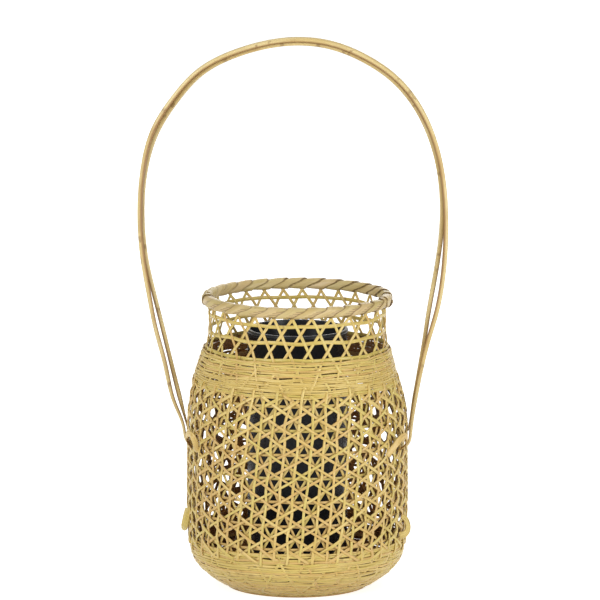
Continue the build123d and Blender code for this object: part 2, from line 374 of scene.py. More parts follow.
# adds rings of points as a closed or open skin
def addRings(parts, rings, grain, inside, closed):
    count, size = rings.shape[:2]
    start = parts["count"]
    index = np.arange(count * size).reshape(count, size) + start
    ahead = np.roll(index, -1, axis=0)
    if not closed:
        index = index[:-1]
        ahead = ahead[:-1]
    beside = np.roll(index, -1, axis=1)
    beyond = np.roll(ahead, -1, axis=1)
    quads = np.stack([index, beside, beyond, ahead], axis=2).reshape(-1, 4)
    parts["faces"] += quads.tolist()
    if not closed:
        first = list(range(start, start + size))
        last = [spot + (count - 1) * size for spot in first]
        parts["faces"].append(first[::-1])
        parts["faces"].append(last)
    parts["spots"].append(rings.reshape(-1, 3))
    parts["grain"].append(grain.reshape(-1, 3))
    # 'inside' is the share of painted shade at each point
    parts["inside"].append(np.broadcast_to(inside, (count, size)).reshape(-1))
    parts["count"] += count * size


# one strip along places, with its skin facing outs; its inner side is darkened with painted shade, flip -1
# puts that painted shade on the outer side instead, and depth is how dark the painted shade gets
def addStrip(
    parts, places, outs, width, thickness, tone,
    closed=False, section=stripSection, flip=1, depth=1.0,
):
    count = len(places)
    if closed:
        ahead = np.roll(places, -1, axis=0) - np.roll(places, 1, axis=0)
    else:
        ahead = np.gradient(places, axis=0)
    ahead = ahead / np.linalg.norm(ahead, axis=1)[:, None]
    side = np.cross(ahead, outs)
    side /= np.linalg.norm(side, axis=1)[:, None]
    up = np.cross(side, ahead)
    shape = np.array(section)
    wide = np.broadcast_to(width, count)[:, None] * shape[None, :, 0] / 2
    tall = np.broadcast_to(thickness, count)[:, None] * shape[None, :, 1] / 2
    rings = places[:, None, :] + side[:, None, :] * wide[:, :, None] + up[:, None, :] * tall[:, :, None]
    grain = np.empty((count, len(shape), 3))
    grain[:, :, 0] = lengthAlong(places)[:, None]
    grain[:, :, 1] = shape[None, :, 0]
    grain[:, :, 2] = tone
    # painted shade: 1 on the inner face (flip 1) or the outer face (flip -1), 0 on the other, times depth
    inside = (1 - flip * shape[None, :, 1]) / 2 * np.broadcast_to(depth, count)[:, None]
    addRings(parts, rings, grain, inside, closed)


# hands a mesh in as one piece that rides a body in place of the named nodes
def handIn(name, mesh, material, nodes, body):
    mesh.polygons.foreach_set("use_smooth", np.ones(len(mesh.polygons), bool))
    mesh.materials.append(material)
    piece = putInScene(name, mesh)
    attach(piece, body)
    if nodes:
        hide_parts(*nodes)
    print(name, len(mesh.polygons), "faces")


def makePiece(name, parts, material, nodes):
    mesh = bpy.data.meshes.new(name)
    mesh.from_pydata(np.concatenate(parts["spots"]).tolist(), [], parts["faces"])
    grain = mesh.attributes.new("grain", "FLOAT_VECTOR", "POINT")
    grain.data.foreach_set("vector", np.concatenate(parts["grain"]).astype(np.float32).ravel())
    # the 'inside' attribute carries the painted shade on the strips' shaded faces
    inside = mesh.attributes.new("inside", "FLOAT", "POINT")
    inside.data.foreach_set("value", np.concatenate(parts["inside"]).astype(np.float32))
    handIn(name, mesh, material, nodes, "basket")


# split bamboo: streaks along the strip, a tone for each strip, nodes and specks, with painted shade along
# the strips' sides (partly the cut edges' own darker colour) and on their inner faces
def bambooMaterial(name, look, turned=False):
    material = bpy.data.materials.new(name)
    material.use_nodes = True
    nodes = material.node_tree.nodes
    links = material.node_tree.links
    shader = nodes["Principled BSDF"]

    def math2(kind, first, second):
        node = nodes.new("ShaderNodeMath")
        node.operation = kind
        for at, value in enumerate((first, second)):
            if isinstance(value, (int, float)):
                node.inputs[at].default_value = value
            else:
                links.new(value, node.inputs[at])
        return node.outputs[0]

    def times(first, second):
        return math2("MULTIPLY", first, second)

    def noiseOf(vector, scale, detail):
        node = nodes.new("ShaderNodeTexNoise")
        node.inputs["Scale"].default_value = scale
        node.inputs["Detail"].default_value = detail
        links.new(vector, node.inputs["Vector"])
        return node.outputs["Fac"]

    def spread(value, low, high):
        node = nodes.new("ShaderNodeMapRange")
        node.interpolation_type = "SMOOTHSTEP"
        node.inputs["From Min"].default_value = low
        node.inputs["From Max"].default_value = high
        links.new(value, node.inputs["Value"])
        return node.outputs["Result"]

    def mixOf(share, first, second):
        node = nodes.new("ShaderNodeMix")
        node.data_type = "RGBA"      # its two colours are sockets 6 and 7, the result is output 2
        links.new(share, node.inputs["Factor"])
        for at, value in ((6, first), (7, second)):
            if isinstance(value, tuple):
                node.inputs[at].default_value = (*value, 1)
            else:
                links.new(value, node.inputs[at])
        return node.outputs[2]

    parts = nodes.new("ShaderNodeSeparateXYZ")
    if turned:                       # hoops and floor: grain round the axis, split lines up and out
        place = nodes.new("ShaderNodeTexCoord")
        links.new(place.outputs["Object"], parts.inputs[0])
        x, y, z = (parts.outputs[letter] for letter in "XYZ")
        reach = math2("SQRT", math2("ADD", times(x, x), times(y, y)), 0.0)
        along = times(math2("ARCTAN2", y, x), look["hoopRadius"])
        across = math2("SINE", times(math2("ADD", reach, z), look["splitLines"]), 0.0)
        tone = math2("FRACT", times(math2("ADD", reach, z), look["toneSteps"]), 0.0)
    else:
        grain = nodes.new("ShaderNodeAttribute")
        grain.attribute_name = "grain"
        links.new(grain.outputs["Vector"], parts.inputs[0])
        along, across, tone = (parts.outputs[letter] for letter in "XYZ")
    shift = times(tone, look["toneShift"])

    def stretched(alongScale, acrossScale):
        node = nodes.new("ShaderNodeCombineXYZ")
        links.new(times(along, alongScale), node.inputs["X"])
        links.new(times(across, acrossScale), node.inputs["Y"])
        links.new(shift, node.inputs["Z"])
        return node.outputs[0]

    fibre = noiseOf(stretched(look["fibreAlong"], look["fibreAcross"]), 1.0, 3.0)
    streak = noiseOf(stretched(look["streakAlong"], look["streakAcross"]), 1.0, 2.0)
    speck = noiseOf(stretched(look["speckAlong"], look["speckAcross"]), 1.0, 1.0)

    colour = mixOf(spread(streak, *look["streakBand"]), look["pale"], look["gold"])
    warm = times(spread(tone, *look["warmBand"]), look["toneMix"])
    colour = mixOf(warm, colour, look["warm"])
    green = times(spread(tone, *look["greenBand"]), look["toneMix"])
    colour = mixOf(green, colour, look["green"])
    deep = times(spread(fibre, *look["fibreBand"]), look["fibreMix"])
    colour = mixOf(deep, colour, look["deep"])
    # painted shade along both sides of each strip, where it meets the next strip, course or turn; on the
    # open weave partly the cut edges' own darker colour
    edge = spread(math2("ABSOLUTE", across, 0.0), *look["edgeBand"])
    colour = mixOf(times(edge, look["edgeMix"]), colour, look["edge"])
    knot = times(along, look["nodesPerMetre"])
    knot = math2("ADD", knot, times(tone, look["nodeShift"]))
    knot = math2("ABSOLUTE", math2("SUBTRACT", math2("FRACT", knot, 0.0), 0.5), 0.0)
    ring = spread(knot, look["nodeShare"], 0.0)
    colour = mixOf(times(ring, look["nodeMix"]), colour, look["brown"])
    dots = times(spread(speck, *look["speckBand"]), look["speckMix"])
    colour = mixOf(dots, colour, look["brown"])
    # painted shade: where the 'inside' attribute is high, the colour turns to the darker 'inside' brown
    inside = nodes.new("ShaderNodeAttribute")
    inside.attribute_name = "inside"
    colour = mixOf(spread(inside.outputs["Fac"], look["innerShadeFrom"], 1.0), colour, look["inside"])
    links.new(colour, shader.inputs["Base Color"])

    rough = nodes.new("ShaderNodeMapRange")
    rough.inputs["To Min"].default_value = look["roughLow"]
    rough.inputs["To Max"].default_value = look["roughHigh"]
    links.new(fibre, rough.inputs["Value"])
    links.new(rough.outputs["Result"], shader.inputs["Roughness"])
    bump = nodes.new("ShaderNodeBump")
    bump.inputs["Strength"].default_value = look["bump"]
    bump.inputs["Distance"].default_value = look["bumpDepth"]
    links.new(math2("ADD", fibre, times(ring, look["nodeBump"])), bump.inputs["Height"])
    links.new(bump.outputs["Normal"], shader.inputs["Normal"])
    return material


weaveLook = {
    "pale": (0.76, 0.59, 0.215),
    "gold": (0.63, 0.44, 0.115),
    "warm": (0.62, 0.37, 0.13),
    "green": (0.60, 0.50, 0.115),
    "deep": (0.36, 0.21, 0.045),
    "edge": (0.46, 0.29, 0.075),
    "brown": (0.16, 0.065, 0.018),
    # painted shade: the warm brown that the strips' inner faces take on, from a share of the 'inside'
    # attribute upwards
    "inside": (0.38, 0.17, 0.05),
    "innerShadeFrom": 0.80,
    "toneMix": 0.55,
    "fibreMix": 0.40,
    "edgeMix": 0.45,
    "speckMix": 0.55,
    "fibreAlong": 60.0,
    "fibreAcross": 5.0,
    "streakAlong": 34.0,
    "streakAcross": 0.7,
    "speckAlong": 150.0,
    "speckAcross": 2.4,
    "streakBand": (0.34, 0.66),
    "warmBand": (0.55, 1.0),
    "greenBand": (0.45, 0.0),
    "fibreBand": (0.45, 0.75),
    "edgeBand": (0.72, 1.0),
    "speckBand": (0.66, 0.74),
    "toneShift": 41.0,               # moves the pattern on from strip to strip
    "nodesPerMetre": 9.0,
    "nodeShare": 0.012,
    "nodeMix": 0.45,
    "nodeShift": 7.3,
    "nodeBump": 0.8,
    "roughLow": 0.29,
    "roughHigh": 0.52,
    "bump": 0.35,
    "bumpDepth": 0.06 * mm,
    "hoopRadius": 60 * mm,
    "splitLines": 2600.0,
    "toneSteps": 140.0,
}
# the rim's dark edge colour is painted shade in the seams between turns
rimLook = dict(weaveLook, pale=(0.66, 0.52, 0.26), gold=(0.53, 0.39, 0.15), warm=(0.60, 0.42, 0.21),
               green=(0.52, 0.42, 0.15), deep=(0.34, 0.21, 0.07), edge=(0.20, 0.11, 0.035), fibreAcross=16.0,
               edgeMix=0.85, fibreMix=0.32, speckMix=0.15, nodesPerMetre=4.0)
# the handle's 'inside' brown is painted shade on the sides where the two strands meet
handleLook = dict(weaveLook, pale=(0.72, 0.58, 0.28), gold=(0.62, 0.46, 0.18), warm=(0.60, 0.42, 0.17),
                  green=(0.60, 0.50, 0.22), deep=(0.36, 0.20, 0.06), fibreAcross=4.0, fibreMix=0.4,
                  streakAlong=16.0, nodesPerMetre=5.0, edgeMix=0.0, innerShadeFrom=0.44,
                  inside=(0.33, 0.175, 0.055))
# painted shade: darker browns for the kept hoops, foot ring and floor strips
shadedInnerLook = dict(weaveLook, pale=(0.52, 0.33, 0.12), gold=(0.42, 0.24, 0.08), warm=(0.36, 0.18, 0.06),
                 green=(0.40, 0.25, 0.07))
hoopLook = dict(weaveLook, pale=(0.68, 0.52, 0.15), gold=(0.56, 0.42, 0.09), warm=(0.56, 0.38, 0.10),
                roughLow=0.26, roughHigh=0.44)
# the courses' dark edge colour is painted shade in the lines between strands
courseLook = dict(weaveLook, pale=(0.72, 0.55, 0.19), gold=(0.58, 0.41, 0.10), edge=(0.30, 0.175, 0.035),
                  edgeMix=0.85, fibreMix=0.5, speckMix=0.65)

weaveBamboo = bambooMaterial("weaveBamboo", weaveLook)
hoopBamboo = bambooMaterial("hoopBamboo", hoopLook)
rimBamboo = bambooMaterial("rimBamboo", rimLook)
handleBamboo = bambooMaterial("handleBamboo", handleLook)
courseBamboo = bambooMaterial("courseBamboo", courseLook)
shadedInnerBamboo = bambooMaterial("shadedInnerBamboo", shadedInnerLook, turned=True)
rimCoreBamboo = bambooMaterial("rimCoreBamboo", rimLook, turned=True)


tubeLook = {
    "shade": (0.010, 0.012, 0.014),
    "lighter": 1.8,                  # times the shade, where it is palest
    "rough": 0.24,
    "smoothest": 0.7,                # times that roughness
    "roughest": 1.5,
    "shine": 0.34,
    "cloudScale": 60.0,
    "cloudDetail": 4.0,
    "fineScale": 900.0,
    "bump": 0.10,
    "bumpDepth": 0.05 * mm,
}


# glossy black moulded plastic
def tubeMaterial():
    look = tubeLook
    material = bpy.data.materials.new("tubeBlack")
    material.use_nodes = True
    nodes = material.node_tree.nodes
    links = material.node_tree.links
    shader = nodes["Principled BSDF"]
    shader.inputs["Specular IOR Level"].default_value = look["shine"]
    place = nodes.new("ShaderNodeTexCoord")
    cloud = nodes.new("ShaderNodeTexNoise")
    cloud.inputs["Scale"].default_value = look["cloudScale"]
    cloud.inputs["Detail"].default_value = look["cloudDetail"]
    links.new(place.outputs["Object"], cloud.inputs["Vector"])
    rough = nodes.new("ShaderNodeMapRange")
    rough.inputs["To Min"].default_value = look["rough"] * look["smoothest"]
    rough.inputs["To Max"].default_value = look["rough"] * look["roughest"]
    links.new(cloud.outputs["Fac"], rough.inputs["Value"])
    links.new(rough.outputs["Result"], shader.inputs["Roughness"])
    tint = nodes.new("ShaderNodeMix")
    tint.data_type = "RGBA"
    tint.inputs[6].default_value = (*look["shade"], 1)
    tint.inputs[7].default_value = (*[value * look["lighter"] for value in look["shade"]], 1)
    links.new(cloud.outputs["Fac"], tint.inputs["Factor"])
    links.new(tint.outputs[2], shader.inputs["Base Color"])
    fine = nodes.new("ShaderNodeTexNoise")
    fine.inputs["Scale"].default_value = look["fineScale"]
    links.new(place.outputs["Object"], fine.inputs["Vector"])
    bump = nodes.new("ShaderNodeBump")
    bump.inputs["Strength"].default_value = look["bump"]
    bump.inputs["Distance"].default_value = look["bumpDepth"]
    links.new(fine.outputs["Fac"], bump.inputs["Height"])
    links.new(bump.outputs["Normal"], shader.inputs["Normal"])
    return material


tubeBlack = tubeMaterial()
print("materials made")


# over and under of the base weave at a row: above 0 a rising strip lies outside, below 0 a falling one
def swayAt(row):
    row = np.asarray(row, float)
    body = overBand(row, "bodyOpens") * (1 - overBand(row, "bodyCloses"))
    neck = overBand(row, "neckOpens")
    return -np.cos(2 * math.pi * row) * (body + neck)


# lift of the base weave's middle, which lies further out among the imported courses
def baseLift(row):
    row = np.asarray(row, float)
    packed = overBand(row, "shoulderFrom") * (1 - overBand(row, "shoulderTo"))
    packed = packed + (1 - overBand(row, "footPacks"))
    return (weavePlan["openLift"] + weavePlan["packedRise"] * packed) * mm


def baseAngle(row, way, number):
    plan = weavePlan
    step = way * pitchAngle + plan["lean"]
    angle = pitchAngle + step * (row - plan["handleRow"]) + 2 * pitchAngle * number
    bunch = plan["neckBunch"] * overBand(row, "bunches")
    return angle + bunch * np.sin(2 * np.radians(angle))


# how far round the back a strip's middle lies, from 0 at the front to 1
def backShare(angle):
    return (1 + np.sin(np.radians(np.mean(angle)))) / 2


def diagonals():
    plan = weavePlan
    rows = np.linspace(-plan["footRows"], lastRow, plan["rowSteps"] * (lastRow + plan["footRows"]) + 1)
    for name, way, node in (
        ("risingStrips", 1, "rising_diagonals"), ("fallingStrips", -1, "falling_diagonals"),
    ):
        parts = newParts()
        for number in range(plan["pairs"]):
            count = len(rows)
            angle = baseAngle(rows, way, number) + wander(count, *plan["drift"])
            lift = baseLift(rows) + way * plan["sway"] * swayAt(rows)
            share = plan["bodyShare"] + plan["neckShare"] * overBand(rows, "broadens")
            width = plan["width"] * share * (1 + wander(count, *plan["uneven"]))
            broader = plan["backWidth"] * backShare(angle[:plan["backPoints"]])
            width *= 1 + broader * (1 - overBand(rows, "backNarrows"))
            places, outs = onWall(runAtRow(rows), angle, lift)
            # the neck's inner faces get less painted shade
            depth = 1 - plan["neckShadeLoss"] * overBand(rows, "shadeEases")
            addStrip(parts, places, outs, width, plan["thickness"], chance.uniform(), depth=depth)
        makePiece(name, parts, weaveBamboo, [node])


hoopPlan = {
    "bodyWidth": 1.95 * mm,
    "neckWidth": 2.55 * mm,
    "steps": 14,                     # points for each pair of diagonals
    "drift": 0.30 * mm,
    "neckDrift": 1.4,                # times that drift
    "driftWaves": 11,
    "uneven": (0.04, 6),             # share of the width, waves
    "neckShadeDepth": 0.76,               # how dark the painted shade on the inner side of the neck's hoops gets
}


def addHoop(parts, row, width, drift, depth):
    plan = weavePlan
    count = plan["pairs"] * hoopPlan["steps"]
    angle = np.linspace(0, 360, count, endpoint=False)
    rising = baseAngle(row, 1, 0)
    lift = baseLift(row) + plan["sway"] * np.cos(np.pi * (angle - rising) / pitchAngle)
    run = runAtRow(row) + wander(count, drift, hoopPlan["driftWaves"], True)
    places, outs = onWall(run, angle, lift)
    wide = width * (1 + wander(count, *hoopPlan["uneven"], True))
    addStrip(parts, places, outs, wide, plan["thickness"], chance.uniform(), closed=True, depth=depth)


def hoops():
    plan = hoopPlan
    bodyCount = weavePlan["bodyHoops"]
    neckCount = weavePlan["neckHoops"]
    parts = newParts()
    for row in range(bodyCount):
        addHoop(parts, row, plan["bodyWidth"], plan["drift"], 1.0)
    nodes = [f"body_hoop_{row + 1}" for row in range(bodyCount)]
    makePiece("bodyHoops", parts, weaveBamboo, nodes)
    parts = newParts()
    drift = plan["drift"] * plan["neckDrift"]
    for row in range(neckCount):     # the shoulder's hidden hoop is the row between
        addHoop(parts, bodyCount + 1 + row, plan["neckWidth"], drift, plan["neckShadeDepth"])
    nodes = [f"neck_hoop_{row + 1}" for row in range(neckCount)]
    makePiece("neckHoops", parts, hoopBamboo, nodes)


# strips threaded over the open weave of the body, in and out of each other
insertPlan = {
    "width": 1.80 * mm,
    "uprightWidth": 1.92 * mm,
    "thickness": 0.75 * mm,
    "risingLift": 1.22 * mm,
    "uprightLift": 1.36 * mm,
    "fallingLift": 1.44 * mm,
    "sway": 0.58 * mm,
    "uprightSway": 0.42 * mm,
    "slope": 3,                      # times as steep round the wall as a diagonal
    "uprightPhase": 1 / 6,
    "slantedSteps": 20,              # points in each row
    "uprightSteps": 18,
    "drift": (0.62, 8),              # degrees, waves
    "uprightDrift": (0.48, 7),
    "uneven": (0.06, 5),             # share of the width, waves
    "overBase": 0.90 * mm,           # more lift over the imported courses
    "overShoulder": 0.8,             # share of that lift at the shoulder
    "tuck": 1.5 * mm,                # how deep an end goes back in
    "tuckRows": (0.14, 0.10),        # rows it takes at the low and at the high end
    "lowSpread": (-3.0, 3.0),        # mm that an end lies off its height
    "highSpread": (-1.5, 2.5),
    "uprightSpread": (-1.5, 1.5),
    "lowHeight": 30.5 * mm,
    "highHeight": 145.5 * mm,
    "longLowHeight": 27.0 * mm,      # every second upright runs further
    "longHighHeight": 150.5 * mm,
}


def insertRows(low, high, step):
    first = heightRow(low)
    if low < rowHeights[0]:
        first = weavePlan["footRows"] * (runAtHeight(low) / runAtHeight(rowHeights[0]) - 1)
    last = heightRow(high)
    return np.linspace(first, last, int((last - first) * step))


def insertLift(rows, middle, sway):
    plan = insertPlan
    lowTuck, highTuck = plan["tuckRows"]
    over = 1 - overBand(rows, "insertsRise")
    over = over + plan["overShoulder"] * overBand(rows, "insertsEnd")
    ends = 1 - blendOver(rows, rows[0], rows[0] + lowTuck)
    ends = ends + blendOver(rows, rows[-1] - highTuck, rows[-1])
    return middle + sway * (1 - np.minimum(over, 1)) + plan["overBase"] * over - plan["tuck"] * ends


def inserts():
    plan = insertPlan
    for name, way, node in (
        ("risingInserts", 1, "rising_insert_strips"), ("fallingInserts", -1, "falling_insert_strips"),
    ):
        parts = newParts()
        middle = plan["risingLift"] if way == 1 else plan["fallingLift"]
        for number in range(weavePlan["pairs"]):
            low = plan["lowHeight"] + chance.uniform(*plan["lowSpread"]) * mm
            high = plan["highHeight"] + chance.uniform(*plan["highSpread"]) * mm
            rows = insertRows(low, high, plan["slantedSteps"])
            count = len(rows)
            past = rows - weavePlan["handleRow"]
            step = plan["slope"] * way * pitchAngle + weavePlan["lean"]
            angle = pitchAngle + step * past + 2 * pitchAngle * number + wander(count, *plan["drift"])
            lift = insertLift(rows, middle, way * plan["sway"] * np.cos(plan["slope"] * math.pi * past))
            places, outs = onWall(runAtRow(rows), angle, lift)
            width = plan["width"] * (1 + wander(count, *plan["uneven"]))
            width = width * (1 + weavePlan["backWidth"] * backShare(angle))
            addStrip(parts, places, outs, width, plan["thickness"], chance.uniform())
        makePiece(name, parts, weaveBamboo, [node])

    parts = newParts()
    for number in range(2 * weavePlan["pairs"]):
        long = number % 2
        low = plan["longLowHeight" if long else "lowHeight"]
        low = low + chance.uniform(*plan["uprightSpread"]) * mm
        high = plan["longHighHeight" if long else "highHeight"]
        high = high + chance.uniform(*plan["uprightSpread"]) * mm
        rows = insertRows(low, high, plan["uprightSteps"])
        count = len(rows)
        past = rows - weavePlan["handleRow"]
        angle = pitchAngle / 2 + weavePlan["lean"] * past + pitchAngle * number
        angle = angle + wander(count, *plan["uprightDrift"])
        phase = plan["uprightPhase"] * (-1 if long else 1)
        first = 1 if number % 4 < 2 else -1     # which of the two slanted strips it rides over
        sway = first * plan["uprightSway"] * np.cos(plan["slope"] * math.pi * (past + phase))
        lift = insertLift(rows, plan["uprightLift"], sway)
        places, outs = onWall(runAtRow(rows), angle, lift)
        width = plan["uprightWidth"] * (1 + wander(count, *plan["uneven"]))
        width = width * (1 + weavePlan["backWidth"] * backShare(angle))
        addStrip(parts, places, outs, width, plan["thickness"], chance.uniform())
    makePiece("uprightStrips", parts, weaveBamboo, ["upright_strips"])


# fine courses packed close, in and out of the diagonals by hand, some riding over the next
coursePlan = {
    "thickness": 1.0 * mm,
    "lift": 1.05 * mm,
    "sway": 0.42 * mm,
    "rise": 0.6,                     # share of the sway between the crossings
    "fall": 1.6,                     # share of the sway that a full dip takes off
    "unevenLift": (0.16 * mm, 30),   # size, waves
    "steps": 20,                     # points for each pair of diagonals
    "drift": (0.24 * mm, 22),        # size, waves
    "crossShare": 0.12,              # share of the pitch that a strand strays
    "crossWaves": 14,
    "uneven": (0.10, 26),            # share of the width, waves
    "underShare": 0.30,              # share of the crossings where a course dips right under
    "ripple": 0.36,                  # dip at the other crossings
    "rippleShares": (0.3, 1.8),      # times that dip, at every second pair
    "dipWidth": 1.6,                 # degrees
    "cover": 1.20,                   # width for each pitch
    "pinch": 0.30,                   # how much narrower a course is where it dips
    "strands": 2,                    # thin strips side by side in one course
    "lowestRun": 0.2 * mm,           # keeps a course off the foot's lowest edge
    "shoulderCourses": 9,
    "baseCourses": 14,
}


def addCourse(parts, run, pitch, row, number):
    plan = coursePlan
    count = weavePlan["pairs"] * plan["steps"]
    angle = np.linspace(0, 360, count, endpoint=False)
    dips = np.zeros(count)
    for way in (1, -1):
        for pair in range(weavePlan["pairs"]):
            under = chance.uniform() < plan["underShare"]
            ripple = plan["ripple"] * plan["rippleShares"][(pair + number) % 2]
            away = (angle - baseAngle(row, way, pair) + 180) % 360 - 180
            dips += (1.0 if under else ripple) * np.exp(-(away / plan["dipWidth"]) ** 2)
    dips = np.minimum(dips, 1)
    drift = wander(count, *plan["drift"], True)
    for strand in range(plan["strands"]):
        shift = pitch * ((strand + 0.5) / plan["strands"] - 0.5)
        cross = wander(count, plan["crossShare"] * pitch, plan["crossWaves"], True)
        lift = plan["lift"] + plan["sway"] * (plan["rise"] - plan["fall"] * dips)
        lift = lift + wander(count, *plan["unevenLift"], True)
        wide = pitch / plan["strands"] * plan["cover"] * (1 + wander(count, *plan["uneven"], True))
        wide = wide * (1 - plan["pinch"] * dips)
        places, outs = onWall(np.maximum(run + drift + shift + cross, plan["lowestRun"]), angle, lift)
        tone = chance.uniform()
        addStrip(parts, places, outs, wide, plan["thickness"], tone, closed=True, section=roundSection)


def courses():
    shoulderCount = coursePlan["shoulderCourses"]
    baseCount = coursePlan["baseCourses"]
    parts = newParts()
    low = runAtHeight(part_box("shoulder_course_1")[0].z)
    high = runAtHeight(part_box(f"shoulder_course_{shoulderCount}")[1].z)
    pitch = (high - low) / shoulderCount
    for number in range(shoulderCount):
        run = low + pitch * (number + 0.5)
        row = heightRow(np.interp(run, wall["run"], wall["height"]))
        addCourse(parts, run, pitch, row, number)
    nodes = [f"shoulder_course_{at + 1}" for at in range(shoulderCount)]
    makePiece("shoulderBand", parts, courseBamboo, nodes)

    parts = newParts()
    high = runAtHeight(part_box("base_course_01")[1].z)
    pitch = high / baseCount
    for number in range(baseCount):
        run = high - pitch * (number + 0.5)
        row = weavePlan["footRows"] * (run / runAtHeight(rowHeights[0]) - 1)
        addCourse(parts, run, pitch, row, number)
    nodes = [f"base_course_{at + 1:02d}" for at in range(baseCount)]
    makePiece("baseBand", parts, courseBamboo, nodes)


# rim: two wide strips wound round the hoops side by side, in slanted overlapping turns
rimPlan = {
    "turns": 30,
    "starts": 2,
    "overlap": 1.05,
    "thickness": 0.50 * mm,
    "depth": 7.1 * mm,
    "outside": 0.6 * mm,             # how far inside the CAD's rim the wrap's outer side lies
    "raise": 0.85 * mm,
    "rounding": 2.8 * mm,
    "inset": 1.1 * mm,
    "leanMarks": [0.0, 0.13, 0.37, 0.63, 0.87, 1.0],
    "leanShares": [0.0, 0.04, 0.42, 0.54, 0.94, 1.0],
    "drift": (0.05, 50),             # share of the pitch, waves
    "uneven": (0.03, 50),            # share of the width, waves
    "cornerSteps": 8,
    "outlinePoints": 61,
    "gap": 0.17,                     # share of a turn left open along the outer lower edge
    "gapMiddle": 0.12,
    "gapSpread": 0.07,
}
wrapSection = [
    (-0.5, 0.0), (-0.495, 0.35), (-0.46, 0.72), (-0.34, 0.98), (-0.12, 1.12), (0.12, 1.1),
    (0.33, 0.86), (0.45, 0.35), (0.5, -0.5),
]


# outline of the rim's section, from below outwards, up, and back inside
def rimOutline(wide, tall, rounding):
    cornerSteps = rimPlan["cornerSteps"]
    places = []
    for cornerX, cornerZ, start in ((1, -1, -90), (1, 1, 0), (-1, 1, 90), (-1, -1, 180)):
        centre = (cornerX * (wide / 2 - rounding), cornerZ * (tall / 2 - rounding))
        for step in range(cornerSteps + 1):
            turn = math.radians(start + 90 * step / cornerSteps)
            places.append((centre[0] + rounding * math.cos(turn), centre[1] + rounding * math.sin(turn)))
    places = [(0.0, -tall / 2)] + places + [(0.0, -tall / 2)]
    line = np.array(places)
    run = lengthAlong(line)
    even = np.linspace(0, run[-1], rimPlan["outlinePoints"])
    return np.stack([np.interp(even, run, line[:, 0]), np.interp(even, run, line[:, 1])], axis=1), run[-1]


def rimWrap():
    plan = rimPlan
    low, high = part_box("rim_wrap")
    outer = high.x - plan["outside"]
    tall = high.z - low.z
    inner = outer - plan["depth"]
    middleR = (outer + inner) / 2
    middleZ = (low.z + high.z) / 2
    inset = plan["inset"]
    line, length = rimOutline(outer - inner - 2 * inset, tall - 2 * inset, plan["rounding"] - inset)
    outs = np.gradient(line, axis=0)
    outs /= np.linalg.norm(outs, axis=1)[:, None]
    outs = np.stack([outs[:, 1], -outs[:, 0]], axis=1)
    share = np.linspace(0, 1, len(line))
    lean = np.interp(share, plan["leanMarks"], plan["leanShares"])
    steps = len(line) - 1
    each = plan["turns"] // plan["starts"]
    total = steps * each
    at = np.arange(total)
    spot = at % steps
    turn = at // steps
    pitch = 360.0 / plan["turns"]
    section = np.array(wrapSection)
    tones = chance.uniform(size=plan["turns"])
    parts = newParts()
    for begin in range(plan["starts"]):
        drift = wander(total, *plan["drift"], True)
        centre = pitch * (plan["starts"] * (turn + lean[spot]) + begin + drift)
        parted = plan["gap"] * np.exp(-((share[spot] - plan["gapMiddle"]) / plan["gapSpread"]) ** 2)
        wide = pitch * plan["overlap"] * (1 + wander(total, *plan["uneven"], True)) * (1 - parted)
        angle = np.radians(centre[:, None] + section[None, :, 0] * wide[:, None])
        lift = plan["raise"] * (0.5 - section[None, :, 0]) + plan["thickness"] * section[None, :, 1]
        reach = middleR + line[spot, 0][:, None] + outs[spot, 0][:, None] * lift
        height = middleZ + line[spot, 1][:, None] + outs[spot, 1][:, None] * lift
        rings = np.stack([reach * np.cos(angle), reach * np.sin(angle), height], axis=2)
        grain = np.empty_like(rings)
        grain[:, :, 0] = (at * length / steps)[:, None]
        grain[:, :, 1] = section[None, :, 0] * 2
        grain[:, :, 2] = tones[turn * plan["starts"] + begin][:, None]
        addRings(parts, rings, grain, 0.0, True)
    makePiece("rimWrap", parts, rimBamboo, ["rim_wrap"])
    rimLaps(middleR, middleZ, line, outs)


# ends of the wrapping, wound once more over the rim and tucked in
lapPlan = {
    "laps": [(187.0, 4.5, 1.6), (-9.0, 7.0, 1.6)],   # place and width in degrees, lean
    "span": 7.0,                     # degrees that a lean of 1 carries a lap along the rim
    "extraSteps": 9,                 # points past one full turn
    "thickness": 0.6 * mm,
    "stand": 1.35 * mm,
    "standFrom": 0.7,                # share of the stand at the first end
    "standRise": 0.45,               # share gained by the other end
    "taper": 0.5,
    "taperBand": (0.38, 0.56),       # how far from a lap's middle its ends narrow
}


def rimLaps(middleR, middleZ, line, outs):
    plan = lapPlan
    parts = newParts()
    steps = len(line) - 1
    at = np.arange(steps + plan["extraSteps"])
    spot = at % steps
    share = at / steps
    for middle, width, lean in plan["laps"]:
        begin = chance.integers(0, steps)
        spots = (spot + begin) % steps
        centre = middle + plan["span"] * lean * (share - 0.5)
        lift = plan["stand"] * (plan["standFrom"] + plan["standRise"] * share)
        turn = np.radians(centre)
        reach = middleR + line[spots, 0] + outs[spots, 0] * lift
        height = middleZ + line[spots, 1] + outs[spots, 1] * lift
        places = np.stack([reach * np.cos(turn), reach * np.sin(turn), height], axis=1)
        flat = outs[spots, 0]
        skin = np.stack([flat * np.cos(turn), flat * np.sin(turn), outs[spots, 1]], axis=1)
        taper = 1 - plan["taper"] * blendOver(np.abs(share - share.mean()), *plan["taperBand"])
        wide = math.radians(width) * middleR * taper
        addStrip(parts, places, skin, wide, plan["thickness"], chance.uniform())
    makePiece("rimLaps", parts, rimBamboo, [])


